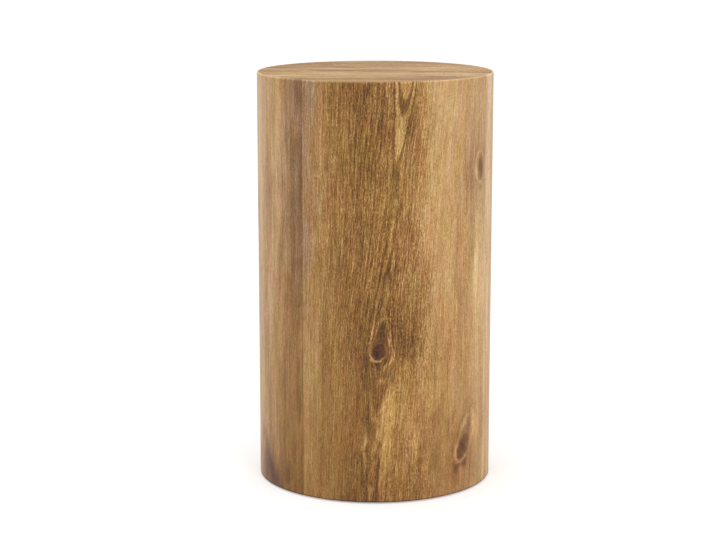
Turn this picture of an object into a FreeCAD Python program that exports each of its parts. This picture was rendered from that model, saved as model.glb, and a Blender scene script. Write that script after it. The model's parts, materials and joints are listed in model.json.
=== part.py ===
import FreeCAD
import Part
import math
import os

# Round drum side table. A closed hollow drum stands on its end: a skeleton of three notched
# rings and four upright battens, two kerf-bent half shells round it, a solid top, a screwed-in
# base on nail-on glides, and a wood-grain laminate over the side and the top.
# Millimetres. +Z is up, the origin is on the floor under the drum's axis, the front faces -Y.

# Overall sizes: the drum's own height is from its lower rim to the table top
drum_diameter = 300.0
drum_height = 523.0
glide_standoff = 2.0

# Boards and sheets
laminate_thickness = 0.8
top_panel_thickness = 15.0
shell_thickness = 9.0
former_thickness = 18.0
former_width = 40.0
base_panel_thickness = 9.0
base_recess = 3.0
batten_width = 30.0
batten_thickness = 15.0
edge_radius = 2.0

# Fits
glue_line = 0.1
fit_gap = 0.2
shell_joint_gap = 0.2
laminate_seam_gap = 0.3
overrun = 1.0

# Saw kerfs that let a half shell bend: width at the root, web left outside the root, pitch along
# the outer face, and the plain land that is left beside each joint
kerf_width = 2.0
kerf_web = 2.0
kerf_pitch = 12.0
kerf_edge_land = 22.0

# Loose tongue in each of the two shell joints
spline_thickness = 3.0
spline_width = 16.0
spline_play = 0.1
spline_setback = 5.0

# Dowels between the top ring and the top panel, with the wood left beyond each end of their holes
dowel_diameter = 8.0
dowel_chamfer = 1.0
dowel_play = 0.1
dowel_end_room = 1.0
dowel_cover_in_panel = 4.0
dowel_cover_in_ring = 2.0

# Countersunk cross-head screws, with the wood left beyond their tips
screw_diameter = 4.0
screw_head_diameter = 8.0
screw_tip_length = 4.0
screw_sink = 0.4
screw_cover = 4.6
screw_play = 0.1
screw_cross_length = 4.6
screw_cross_width = 0.9
screw_cross_depth = 1.5

# Nail-on glides, set in from the edge of the base
glide_diameter = 22.0
glide_inset = 9.0
glide_edge_radius = 1.5
nail_diameter = 2.4
nail_length = 16.0
nail_tip_length = 3.0
nail_head_diameter = 7.0
nail_head_thickness = 1.2
nail_head_setback = 1.0
nail_head_room = 1.0
nail_play = 0.1

# Places round the drum, in degrees from +X
quarter_turn = 90.0
half_turn = 180.0
full_turn = 360.0
seam_angle = 90.0
batten_angles = {"right": 0.0, "rear": 90.0, "left": 180.0, "front": 270.0}
glide_angles = {"rear_right": 45.0, "rear_left": 135.0, "front_left": 225.0, "front_right": 315.0}
dowel_angles = [45.0, 135.0, 225.0, 315.0]
top_screw_angles = [22.5, 157.5, 202.5, 337.5]
base_screw_angles = [22.5, 67.5, 112.5, 157.5, 202.5, 247.5, 292.5, 337.5]

# Radii, from the outside in
outer_radius = drum_diameter / 2
lip_radius = outer_radius - edge_radius
laminate_inner_radius = outer_radius - laminate_thickness
core_radius = laminate_inner_radius - glue_line
kerf_root_radius = core_radius - kerf_web
spline_radius = core_radius - shell_thickness / 2
shell_inner_radius = core_radius - shell_thickness
former_radius = shell_inner_radius - fit_gap
batten_face_radius = former_radius - batten_thickness
fixing_radius = former_radius - former_width / 2
glide_radius = former_radius - glide_inset - glide_diameter / 2
former_hole_radius = former_radius - former_width

# Levels, from the floor up
rim_z = glide_standoff
base_bottom_z = rim_z + base_recess
base_top_z = base_bottom_z + base_panel_thickness
top_z = rim_z + drum_height
lip_z = top_z - edge_radius
panel_top_z = top_z - laminate_thickness - glue_line
panel_bottom_z = panel_top_z - top_panel_thickness
shell_height = panel_bottom_z - rim_z
skeleton_height = panel_bottom_z - base_top_z
former_levels = {
    "bottom": base_top_z,
    "mid": base_top_z + (skeleton_height - former_thickness) / 2,
    "top": panel_bottom_z - former_thickness,
}

dowel_top_z = panel_top_z - dowel_cover_in_panel - dowel_end_room
dowel_bottom_z = former_levels["top"] + dowel_cover_in_ring + dowel_end_room

# Screw lengths, from what each goes through and into
batten_screw_length = former_width - screw_sink - screw_cover
top_screw_length = former_thickness + top_panel_thickness - screw_sink - screw_cover
base_screw_length = base_panel_thickness + former_thickness - screw_sink - screw_cover

origin = FreeCAD.Vector(0, 0, 0)
y_axis = FreeCAD.Vector(0, 1, 0)
z_axis = FreeCAD.Vector(0, 0, 1)


# Shape helpers
def disc(radius, thickness, z):
    return Part.makeCylinder(radius, thickness, FreeCAD.Vector(0, 0, z))


def ring(radius, hole_radius, thickness, z):
    return disc(radius, thickness, z).cut(disc(hole_radius, thickness, z))


def bar(x_low, x_high, width, z_low, z_high):
    """A box that straddles the XZ plane."""
    corner = FreeCAD.Vector(x_low, -width / 2, z_low)
    return Part.makeBox(x_high - x_low, width, z_high - z_low, corner)


def turned(points):
    """A solid of revolution about Z, from the (radius, z) corners of its half section in order."""
    corners = [FreeCAD.Vector(radius, 0, z) for radius, z in points]
    half_section = Part.Face(Part.makePolygon(corners + corners[:1]))
    return half_section.revolve(origin, z_axis, full_turn)


def at_angle(shape, degrees):
    copy = shape.copy()
    copy.rotate(origin, z_axis, degrees)
    return copy


def at_place(shape, x, z):
    copy = shape.copy()
    copy.translate(FreeCAD.Vector(x, 0, z))
    return copy


def pattern(shape, angles):
    return [at_angle(shape, angle) for angle in angles]


def without(shape, tools):
    return shape.cut(Part.makeCompound(tools))


# Screws, and the holes that they need. Each is made with its head at z = 0 and its tip below.
def screw_outline(length, play):
    head = screw_head_diameter / 2 + play
    shank = screw_diameter / 2 + play
    neck = shank - head
    return [(head, 0), (shank, neck), (shank, screw_tip_length - length), (0, -length - play)]


def screw(length):
    body = turned([(0, 0)] + screw_outline(length, 0))
    half_slot = screw_cross_length / 2
    slot = bar(-half_slot, half_slot, screw_cross_width, -screw_cross_depth, overrun)
    return without(body, pattern(slot, [0, quarter_turn]))


def screw_hole(length):
    mouth = screw_sink + overrun
    outline = screw_outline(length, screw_play)
    return turned([(0, mouth), (outline[0][0], mouth)] + outline)


def driven_up(shape, x, z):
    copy = shape.copy()
    copy.rotate(origin, y_axis, half_turn)
    return at_place(copy, x, z + screw_sink)


def driven_inwards(shape, x, z):
    copy = shape.copy()
    copy.rotate(origin, y_axis, quarter_turn)
    return at_place(copy, x - screw_sink, z)


def batten_screws(make, level):
    """Through the four battens into the edge of the ring at one level."""
    middle = former_levels[level] + former_thickness / 2
    placed = driven_inwards(make(batten_screw_length), former_radius, middle)
    return pattern(placed, batten_angles.values())


def top_screws(make):
    """Up through the top ring into the top panel."""
    placed = driven_up(make(top_screw_length), fixing_radius, former_levels["top"])
    return pattern(placed, top_screw_angles)


def base_screws(make):
    """Up through the base panel into the bottom ring."""
    placed = driven_up(make(base_screw_length), fixing_radius, base_bottom_z)
    return pattern(placed, base_screw_angles)


# Dowels, part in the top ring and part in the top panel
def dowels():
    radius = dowel_diameter / 2
    tip = radius - dowel_chamfer
    outline = [(0, dowel_bottom_z), (tip, dowel_bottom_z), (radius, dowel_bottom_z + dowel_chamfer)]
    outline += [(radius, dowel_top_z - dowel_chamfer), (tip, dowel_top_z), (0, dowel_top_z)]
    return pattern(at_place(turned(outline), fixing_radius, 0), dowel_angles)


def dowel_holes():
    low, high = dowel_bottom_z - dowel_end_room, dowel_top_z + dowel_end_room
    hole = disc(dowel_diameter / 2 + dowel_play, high - low, low)
    return pattern(at_place(hole, fixing_radius, 0), dowel_angles)


# Glides and their nails
def nails(play):
    head = nail_head_diameter / 2 + play
    shank = nail_diameter / 2 + play
    low, neck = nail_head_setback, nail_head_setback + nail_head_thickness
    tip = low + nail_length + play
    outline = [(0, low), (head, low), (head, neck), (shank, neck), (shank, tip - nail_tip_length), (0, tip)]
    return pattern(at_place(turned(outline), glide_radius, 0), glide_angles.values())


def glide(corner):
    body = disc(glide_diameter / 2, base_bottom_z, 0)
    lower_edge = [edge for edge in body.Edges if edge.Closed and edge.BoundBox.ZMax < rim_z]
    body = body.makeFillet(glide_edge_radius, lower_edge)
    recess = disc(nail_head_diameter / 2 + nail_head_room, nail_head_setback + nail_head_thickness, 0)
    nail_hole = disc(nail_diameter / 2 + nail_play, base_bottom_z, 0)
    placed = at_place(without(body, [recess, nail_hole]), glide_radius, 0)
    return at_angle(placed, glide_angles[corner])


# Skeleton
def batten(side):
    """An upright whose outer face is planed to the curve of the rings."""
    plank = bar(batten_face_radius, former_radius, batten_width, base_top_z, panel_bottom_z)
    plank = plank.common(disc(former_radius, skeleton_height, base_top_z))
    holes = [hole for level in former_levels for hole in batten_screws(screw_hole, level)]
    return without(at_angle(plank, batten_angles[side]), holes)


def batten_notches():
    floor = batten_face_radius - fit_gap
    width = batten_width + fit_gap + fit_gap
    notch = bar(floor, former_radius + overrun, width, base_top_z, panel_bottom_z)
    return pattern(notch, batten_angles.values())


def former(level):
    """A ring with a notch for each batten, and the holes of what is fixed to it."""
    board = ring(former_radius, former_hole_radius, former_thickness, former_levels[level])
    cuts = batten_notches() + batten_screws(screw_hole, level)
    if level == "top":
        cuts += dowel_holes() + top_screws(screw_hole)
    if level == "bottom":
        cuts += base_screws(screw_hole) + nails(nail_play)
    return without(board, cuts)


# Bent half shells, both alike
def kerfs():
    """Saw cuts up the inside of the rear half shell. Bending closes their mouths, so each tapers."""
    step = kerf_pitch / core_radius
    mouth_radius = shell_inner_radius - overrun
    half_root = kerf_width / 2
    half_mouth = half_root - (kerf_root_radius - mouth_radius) * step / 2
    corners = [
        FreeCAD.Vector(kerf_root_radius, -half_root, rim_z),
        FreeCAD.Vector(kerf_root_radius, half_root, rim_z),
        FreeCAD.Vector(mouth_radius, half_mouth, rim_z),
        FreeCAD.Vector(mouth_radius, -half_mouth, rim_z),
    ]
    section = Part.Face(Part.makePolygon(corners + corners[:1]))
    kerf = section.extrude(FreeCAD.Vector(0, 0, shell_height))
    kerfed_arc = math.pi * core_radius - kerf_edge_land - kerf_edge_land
    count = int(kerfed_arc / kerf_pitch) + 1
    first = quarter_turn - math.degrees(step) * (count - 1) / 2
    return pattern(kerf, [first + math.degrees(step) * place for place in range(count)])


def spline(side):
    half = spline_thickness / 2
    low, high = rim_z + spline_setback, panel_bottom_z - spline_setback
    tongue = bar(spline_radius - half, spline_radius + half, spline_width, low, high)
    return at_angle(tongue, batten_angles[side])


def spline_grooves():
    half = spline_thickness / 2 + spline_play
    width = spline_width + spline_play + spline_play
    groove = bar(spline_radius - half, spline_radius + half, width, rim_z, panel_bottom_z)
    return pattern(groove, [batten_angles["right"], batten_angles["left"]])


def rear_shell():
    corner = FreeCAD.Vector(-outer_radius, shell_joint_gap / 2, rim_z)
    rear_half = Part.makeBox(drum_diameter, outer_radius, shell_height, corner)
    board = ring(core_radius, shell_inner_radius, shell_height, rim_z).common(rear_half)
    return without(board, kerfs() + spline_grooves())


# Closing boards
def top_panel():
    board = disc(core_radius, top_panel_thickness, panel_bottom_z)
    upper_edge = [edge for edge in board.Edges if edge.Closed and edge.BoundBox.ZMin > panel_bottom_z]
    board = board.makeFillet(edge_radius - laminate_thickness - glue_line, upper_edge)
    return without(board, dowel_holes() + top_screws(screw_hole))


def base_panel():
    board = disc(former_radius, base_panel_thickness, base_bottom_z)
    return without(board, base_screws(screw_hole) + nails(nail_play))


# Laminate
def lip_points(radius):
    """The side, middle and top of a quarter round about the centre of the eased edge."""
    diagonal = radius * math.cos(math.pi / 4)
    side = FreeCAD.Vector(lip_radius + radius, 0, lip_z)
    middle = FreeCAD.Vector(lip_radius + diagonal, 0, lip_z + diagonal)
    top = FreeCAD.Vector(lip_radius, 0, lip_z + radius)
    return side, middle, top


def side_laminate():
    """One sheet round the side, rolled over the eased edge at its top, with a butt seam at the rear."""
    outer_low = FreeCAD.Vector(outer_radius, 0, rim_z)
    inner_low = FreeCAD.Vector(laminate_inner_radius, 0, rim_z)
    outer_side, outer_middle, outer_top = lip_points(edge_radius)
    inner_side, inner_middle, inner_top = lip_points(edge_radius - laminate_thickness)
    outline = [
        Part.LineSegment(inner_low, outer_low),
        Part.LineSegment(outer_low, outer_side),
        Part.Arc(outer_side, outer_middle, outer_top),
        Part.LineSegment(outer_top, inner_top),
        Part.Arc(inner_top, inner_middle, inner_side),
        Part.LineSegment(inner_side, inner_low),
    ]
    section = Part.Face(Part.Wire([edge.toShape() for edge in outline]))
    seam_degrees = math.degrees(laminate_seam_gap / outer_radius)
    sheet = section.revolve(origin, z_axis, full_turn - seam_degrees)
    return at_angle(sheet, seam_angle + seam_degrees / 2)


def top_laminate():
    return disc(lip_radius - glue_line, laminate_thickness, top_z - laminate_thickness)


# The finished pieces, by node
def pieces():
    rear = rear_shell()
    nodes = {
        "top_laminate": [top_laminate()],
        "side_laminate": [side_laminate()],
        "top_panel": [top_panel()],
        "rear_shell": [rear],
        "front_shell": [at_angle(rear, half_turn)],
        "right_spline": [spline("right")],
        "left_spline": [spline("left")],
        "base_panel": [base_panel()],
        "base_screws": base_screws(screw),
        "top_screws": top_screws(screw),
        "top_dowels": dowels(),
        "glide_nails": nails(0),
    }
    for level in former_levels:
        nodes[level + "_former"] = [former(level)]
        nodes[level + "_batten_screws"] = batten_screws(screw, level)
    for side in batten_angles:
        nodes[side + "_batten"] = [batten(side)]
    for corner in glide_angles:
        nodes[corner + "_glide"] = [glide(corner)]
    return nodes


def main():
    os.makedirs("parts", exist_ok=True)
    for name, shapes in pieces().items():
        solids = [solid for shape in shapes for solid in shape.Solids]
        node = solids[0] if len(solids) == 1 else Part.makeCompound(solids)
        node.exportStep(os.path.join("parts", name + ".step"))
        valid = all(solid.isValid() for solid in solids)
        print(f"{name}: {len(solids)} solid, {node.Volume:.0f} mm3, valid {valid}")


main()
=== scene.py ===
import json
import math
import bpy
import numpy as np
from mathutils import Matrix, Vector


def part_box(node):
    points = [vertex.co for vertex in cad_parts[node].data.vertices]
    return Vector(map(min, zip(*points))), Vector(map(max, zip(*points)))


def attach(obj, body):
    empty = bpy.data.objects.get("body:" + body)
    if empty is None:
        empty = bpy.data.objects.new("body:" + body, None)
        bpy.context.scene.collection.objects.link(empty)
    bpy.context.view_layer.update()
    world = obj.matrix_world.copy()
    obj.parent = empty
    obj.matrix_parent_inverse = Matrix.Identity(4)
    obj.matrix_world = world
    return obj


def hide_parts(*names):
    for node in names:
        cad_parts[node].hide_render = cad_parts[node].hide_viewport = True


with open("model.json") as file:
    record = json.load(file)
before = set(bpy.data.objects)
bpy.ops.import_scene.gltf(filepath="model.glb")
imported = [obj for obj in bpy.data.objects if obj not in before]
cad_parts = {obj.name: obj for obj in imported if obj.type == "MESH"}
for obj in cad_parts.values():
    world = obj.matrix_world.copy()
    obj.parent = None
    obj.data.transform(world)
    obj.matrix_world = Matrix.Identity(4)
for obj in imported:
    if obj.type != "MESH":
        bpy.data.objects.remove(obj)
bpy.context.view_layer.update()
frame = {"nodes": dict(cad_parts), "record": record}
mm = 0.001
fullTone = 255.0  # brightest tone on screen
layerStep = 17.3  # from one layer of noise to the next
print("frame loaded:", len(frame["nodes"]), "nodes")


# Node helpers: each adds its nodes to a tree and returns the socket, or the sockets, of the result
def addNode(tree, kind, inputs, output=0, **settings):
    made = tree.nodes.new(kind)
    for name, value in settings.items():
        setattr(made, name, value)
    for name, value in inputs.items():
        if isinstance(value, bpy.types.NodeSocket):
            tree.links.new(value, made.inputs[name])
        else:
            made.inputs[name].default_value = value
    return made.outputs[output]


def calc(tree, operation, *values, clamp=False):
    return addNode(tree, "ShaderNodeMath", dict(enumerate(values)), operation=operation, use_clamp=clamp)


def attribute(tree, name, output):
    return addNode(tree, "ShaderNodeAttribute", {}, output=output, attribute_name=name)


def parts(tree, vector):
    return addNode(tree, "ShaderNodeSeparateXYZ", {0: vector}).node.outputs


# Noise about zero, with marks of the given size along each axis; the layer number keeps layers unlike
def noise(tree, vector, size, detail=2.0, roughness=0.5, layer=0):
    shift = (0.0, 0.0, layerStep * layer)
    inputs = {0: vector, 1: [1.0 / length for length in size], 2: shift}
    placed = addNode(tree, "ShaderNodeVectorMath", inputs, operation="MULTIPLY_ADD")
    inputs = {"Vector": placed, "Scale": 1.0, "Detail": detail, "Roughness": roughness}
    return calc(tree, "SUBTRACT", addNode(tree, "ShaderNodeTexNoise", inputs), 0.5)


def ramp(tree, factor, stops):
    made = tree.nodes.new("ShaderNodeValToRGB")
    elements = made.color_ramp.elements
    while len(elements) < len(stops):
        elements.new(1.0)
    for element, (place, colour) in zip(elements, stops):
        element.position = place
        element.color = colour
    tree.links.new(factor, made.inputs[0])
    return made.outputs[0]


# A curve of plain numbers over a reach, as a ramp of greys
def levels(tree, value, reach, stops):
    share = calc(tree, "DIVIDE", value, reach, clamp=True)
    return ramp(tree, share, [(place / reach, (level, level, level, 1.0)) for place, level in stops])


# A smooth step from 0 at low to 1 at high
def step(tree, value, low, high):
    inputs = {"Value": value, "From Min": low, "From Max": high}
    return addNode(tree, "ShaderNodeMapRange", inputs, interpolation_type="SMOOTHSTEP")


# Adds sockets, each times its weight, to a first value
def weighted(tree, first, pairs):
    total = first
    for socket, weight in pairs:
        total = calc(tree, "MULTIPLY_ADD", socket, weight, total)
    return total


# Multiplies a colour by 1 + amount x tint
def tinted(tree, colour, amount, tint):
    spread = addNode(tree, "ShaderNodeCombineXYZ", {0: amount, 1: amount, 2: amount})
    inputs = {0: spread, 1: tint, 2: (1.0, 1.0, 1.0)}
    factor = addNode(tree, "ShaderNodeVectorMath", inputs, operation="MULTIPLY_ADD")
    return addNode(tree, "ShaderNodeVectorMath", {0: colour, 1: factor}, operation="MULTIPLY")


# A colour as it looks on screen, 0 to 255 each, as the shader's linear light, by the sRGB curve
def paint(red, green, blue):
    shares = np.array([red, green, blue]) / fullTone
    linear = np.where(shares <= 0.04045, shares / 12.92, ((shares + 0.055) / 1.055) ** 2.4)
    return (*linear.tolist(), 1.0)


def newMaterial(name):
    material = bpy.data.materials.new(name)
    material.use_nodes = True
    return material, material.node_tree, material.node_tree.nodes["Principled BSDF"]


# Links a bump from a height to a surface
def bump(tree, shader, height, strength, distance):
    inputs = {"Height": height, "Strength": strength, "Distance": distance}
    tree.links.new(addNode(tree, "ShaderNodeBump", inputs), shader.inputs["Normal"])


# Plan of a print. Places are in millimetres, across the grain and along it.
# A polyline of given points, rounded by averaging it over a short reach, within one plank
def smoothLine(at, points, reach, low=-np.inf, high=np.inf, samples=9):
    places, values = np.array(points, float).T
    offsets = np.linspace(-reach, reach, samples)
    lines = [np.interp(np.clip(at + offset, low, high), places, values) for offset in offsets]
    return np.mean(lines, axis=0)


# A bell about one place: e to the power of -(offset across / half width) squared
# - (offset along / half height) squared, its outline made uneven by slow waves
def bell(across, along, spot, waves):
    place, down, halfWidth, halfHeight = spot
    sideways = (across - place) / halfWidth
    lengthways = (along - down) / halfHeight
    for shift, stretch, lengthAcross, lengthAlong, phase in waves:
        wave = np.sin(across / lengthAcross + along / lengthAlong + phase)
        sideways = sideways + shift * wave
        lengthways = lengthways + stretch * wave
    return np.exp(-sideways ** 2 - lengthways ** 2)


# A leaning line through points (along, across), rounded over a quarter of the fade: a bell over the
# offset from it, with a half width of its own on each side, dying away past the ends
def stroke(across, along, points, left, right, fade):
    offset = across - smoothLine(along, points, fade / 4)
    past = along - np.clip(along, points[0][0], points[-1][0])
    return np.exp(-(offset / np.where(offset < 0.0, left, right)) ** 2 - (past / fade) ** 2)


# The grain leans with the heart line near it, and round a knot it parts as a stream does round a post:
# offset x radius squared / distance squared
def grainAcross(across, along, plan):
    grain = across.copy()
    for heart in plan["hearts"]:
        line = smoothLine(along, heart["line"], heart["reach"])
        near = np.exp(-((across - line) / heart["width"]) ** 2)
        grain = grain - near * (line - heart["rest"])
    for knot in plan["knots"]:
        place, down, radius, stretch, lean = knot[:5]
        offset = across - place - lean * (along - down)
        distance = offset ** 2 + ((along - down) / stretch) ** 2
        grain = grain - plan["knotBend"] * offset * radius ** 2 / np.maximum(distance, radius ** 2)
    return grain


# Rings of a flat-sawn plank meet its face at one distance from the heart:
# root of (offset from the heart line squared + depth of the heart squared) + lean x offset.
# Beside it, how far the heart's tongues show: 0 in a plank without a heart
def ringDistance(across, along, grain, plan):
    rings, tongues = grain.copy(), np.zeros_like(grain)
    for heart in plan["hearts"]:
        low, high = heart["plank"]
        inPlank = (across > low) & (across < high)
        bent = grain - heart["rest"]
        depth = smoothLine(along, heart["depth"], heart["reach"])
        rings = np.where(inPlank, np.hypot(bent, depth) + heart["lean"] * bent, rings)
        tongues = np.where(inPlank, smoothLine(along, heart["tongues"], heart["reach"]), tongues)
    return rings, tongues


# Each corner's offset from the knot that is nearest to its face, in knot radii, and that knot's strength;
# beside them the height within that knot's hood
def knotOffsets(across, along, faceAcross, faceAlong, plan):
    place, down, radius, stretch, lean, hood, strength = np.array(plan["knots"], float).T
    sideways = (faceAcross[:, None] - place - lean * (faceAlong[:, None] - down)) / radius
    downwards = (faceAlong[:, None] - down) / (radius * stretch)
    near = np.hypot(sideways, downwards).argmin(axis=1)
    sideways = (across - place[near] - lean[near] * (along - down[near])) / radius[near]
    downwards = (along - down[near]) / (radius * stretch)[near]
    return np.stack([sideways, downwards, strength[near]], axis=1), downwards / hood[near]


def setAttribute(mesh, name, values):
    kind, key = ("FLOAT", "value") if values.ndim == 1 else ("FLOAT_VECTOR", "vector")
    made = mesh.attributes.new(name, kind, "CORNER")
    made.data.foreach_set(key, np.ascontiguousarray(values, np.float32).ravel())


# Writes the plan to the corners of the mesh, so that a plank joint stays sharp
def layPrint(mesh, across, along, plan):
    corners = np.empty(len(mesh.loops), np.int32)
    mesh.loops.foreach_get("vertex_index", corners)
    counts = np.empty(len(mesh.polygons), np.int32)
    mesh.polygons.foreach_get("loop_total", counts)
    faces = np.repeat(np.arange(len(counts)), counts)
    across, along = across[corners], along[corners]
    faceAcross = (np.bincount(faces, across) / counts)[faces]
    faceAlong = (np.bincount(faces, along) / counts)[faces]

    edges = np.array([-np.inf, *plan["joints"], np.inf])
    plank = np.searchsorted(plan["joints"], faceAcross)
    low, high = edges[plank] + plan["jointEase"], edges[plank + 1] - plan["jointEase"]
    across = np.clip(across, low, high)
    seeds = np.random.default_rng(plan["seed"]).uniform(0.0, plan["seedSpread"], len(edges))[plank]

    reach = plan["reach"]
    shade = np.zeros((len(across), 3))
    shade[:, 0] = smoothLine(across, plan["tone"], reach, low, high)
    shade[:, 0] += smoothLine(along, plan["toneAlong"], reach)
    for *spot, tone, rose, gold in plan["patches"]:
        shade += bell(across, along, spot, plan["waves"])[:, None] * (tone, rose, gold)
    for points, left, right, *change in plan["strokes"]:
        shade += stroke(across, along, points, left, right, plan["strokeFade"])[:, None] * change
    rings = smoothLine(across, plan["rings"], reach, low, high)
    rings *= smoothLine(along, plan["ringsAlong"], reach)
    fibre = smoothLine(across, plan["fibre"], reach, low, high)
    fibre *= smoothLine(along, plan["fibreAlong"], reach)
    streak = smoothLine(across, plan["streak"], reach, low, high)

    grain = grainAcross(across, along, plan)
    distance, tongues = ringDistance(across, along, grain, plan)
    knot, hood = knotOffsets(across, along, faceAcross, faceAlong, plan)
    setAttribute(mesh, "grain", np.stack([grain, along, seeds], axis=1))
    setAttribute(mesh, "rings", np.stack([distance, rings, tongues], axis=1))
    setAttribute(mesh, "knot", knot)
    setAttribute(mesh, "hood", hood)
    setAttribute(mesh, "shade", shade)
    setAttribute(mesh, "fibre", fibre)
    setAttribute(mesh, "streak", streak)


printLook = {
    # marks of the grain: width, length, detail, brightness, and which strength of the plan drives them
    "marks": {
        "cloud": (20.0, 220.0, 2.0, 46.0, "streak"),
        "blotch": (11.0, 60.0, 2.0, 48.0, "streak"),
        "streak": (4.5, 140.0, 2.0, 60.0, "streak"),
        "thread": (2.4, 50.0, 2.0, 24.0, "streak"),
        "hair": (1.1, 26.0, 1.0, 80.0, "fibre"),
        "fibre": (1.1, 9.0, 1.0, 120.0, "fibre"),
        "fleck": (1.0, 3.0, 1.0, 136.0, "fibre"),
    },
    "markRoughness": 0.55,
    # brightness from one ring to the next, each ring with a chance strength, and fine lines along them
    "ringPitch": 3.4, "ringTone": 26.0, "ringWarp": 0.3, "ringWarpSize": (10.0, 50.0, 1.0),
    "ringProfile": ((0.0, 0.55), (0.18, 1.0), (0.5, 0.6), (0.72, 0.0), (0.85, 0.05), (1.0, 0.55)),
    "ringRest": 0.5, "ringLeast": 0.3, "ringSpread": 0.7,
    "lineSize": (1.1, 36.0, 1.0), "lineRoughness": 0.6, "lineTone": 120.0,
    # brightness of the heart's tongues by ring distance, and the calmer rings among them
    "tongues": (
        (0.0, 0.76), (7.6, 0.8), (8.4, 0.1), (10.4, 0.15), (11.2, 0.95), (13.3, 0.9), (13.9, 0.05),
        (15.0, 0.35), (16.2, 0.7), (17.4, 0.36), (19.0, 0.58), (21.0, 0.42), (24.0, 0.54), (30.0, 0.5),
    ),
    "tongueReach": 30.0, "tongueTone": 72.0, "tongueRest": 0.5,
    "tongueCalm": (18.0, 13.0), "calmShare": 0.7,
    "poreSize": (1.1, 3.0, 1.0), "poreCut": (0.21, 0.28), "poreTone": -70.0,
    # brightness of a knot's bowl and hood by distance, and the edges of its parts, in knot radii
    "bowl": (
        (0.0, 0.26), (0.6, 0.18), (0.84, 0.3), (0.98, 0.98), (1.12, 0.84), (1.25, 0.4), (1.5, 0.34),
        (1.9, 0.46), (4.0, 0.5),
    ),
    "hood": ((0.0, 0.38), (1.0, 0.44), (1.14, 0.7), (1.26, 0.64), (1.45, 0.4), (2.0, 0.47), (4.0, 0.5)),
    "bowlTop": (-0.7, 0.4), "bowlEdge": (1.1, 0.85), "coreEdge": (0.85, 0.55), "calmEdge": (1.3, 1.1),
    "rimLean": -0.6, "rimSide": (-0.3, 1.1),
    "knotReach": 4.0, "knotTone": 130.0, "knotRest": 0.5, "knotCalm": 0.55,
    "knotWobble": 0.7, "wobbleSize": (6.0, 8.0, 1.0),
    # screen colours by brightness, then the tints
    "palette": (
        (20, (48, 26, 8)), (60, (92, 56, 19)), (100, (134, 92, 39)), (130, (164, 121, 66)),
        (165, (198, 157, 102)), (200, (226, 190, 138)), (240, (248, 226, 186)),
    ),
    "roseTint": (0.06, -0.07, 0.05), "rosePatch": (14.0, 60.0, 1.0), "roseAmount": 2.4, "coreRose": 1.5,
    "goldTint": (0.03, 0.0, -0.30), "goldPatch": (12.0, 70.0, 1.0), "goldAmount": 1.6, "coreGold": 0.15,
    # roughness and height: what each mark adds to them
    "roughness": 0.46, "streakRough": 0.2, "poreRough": 0.1, "fibreRough": 0.1, "specular": 0.3,
    "poreHeight": -1.0, "ringHeight": 0.6, "fibreHeight": 0.8, "coreHeight": -0.5,
    "bumpStrength": 0.2, "bumpDistance": 0.12 * mm,
}


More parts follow.
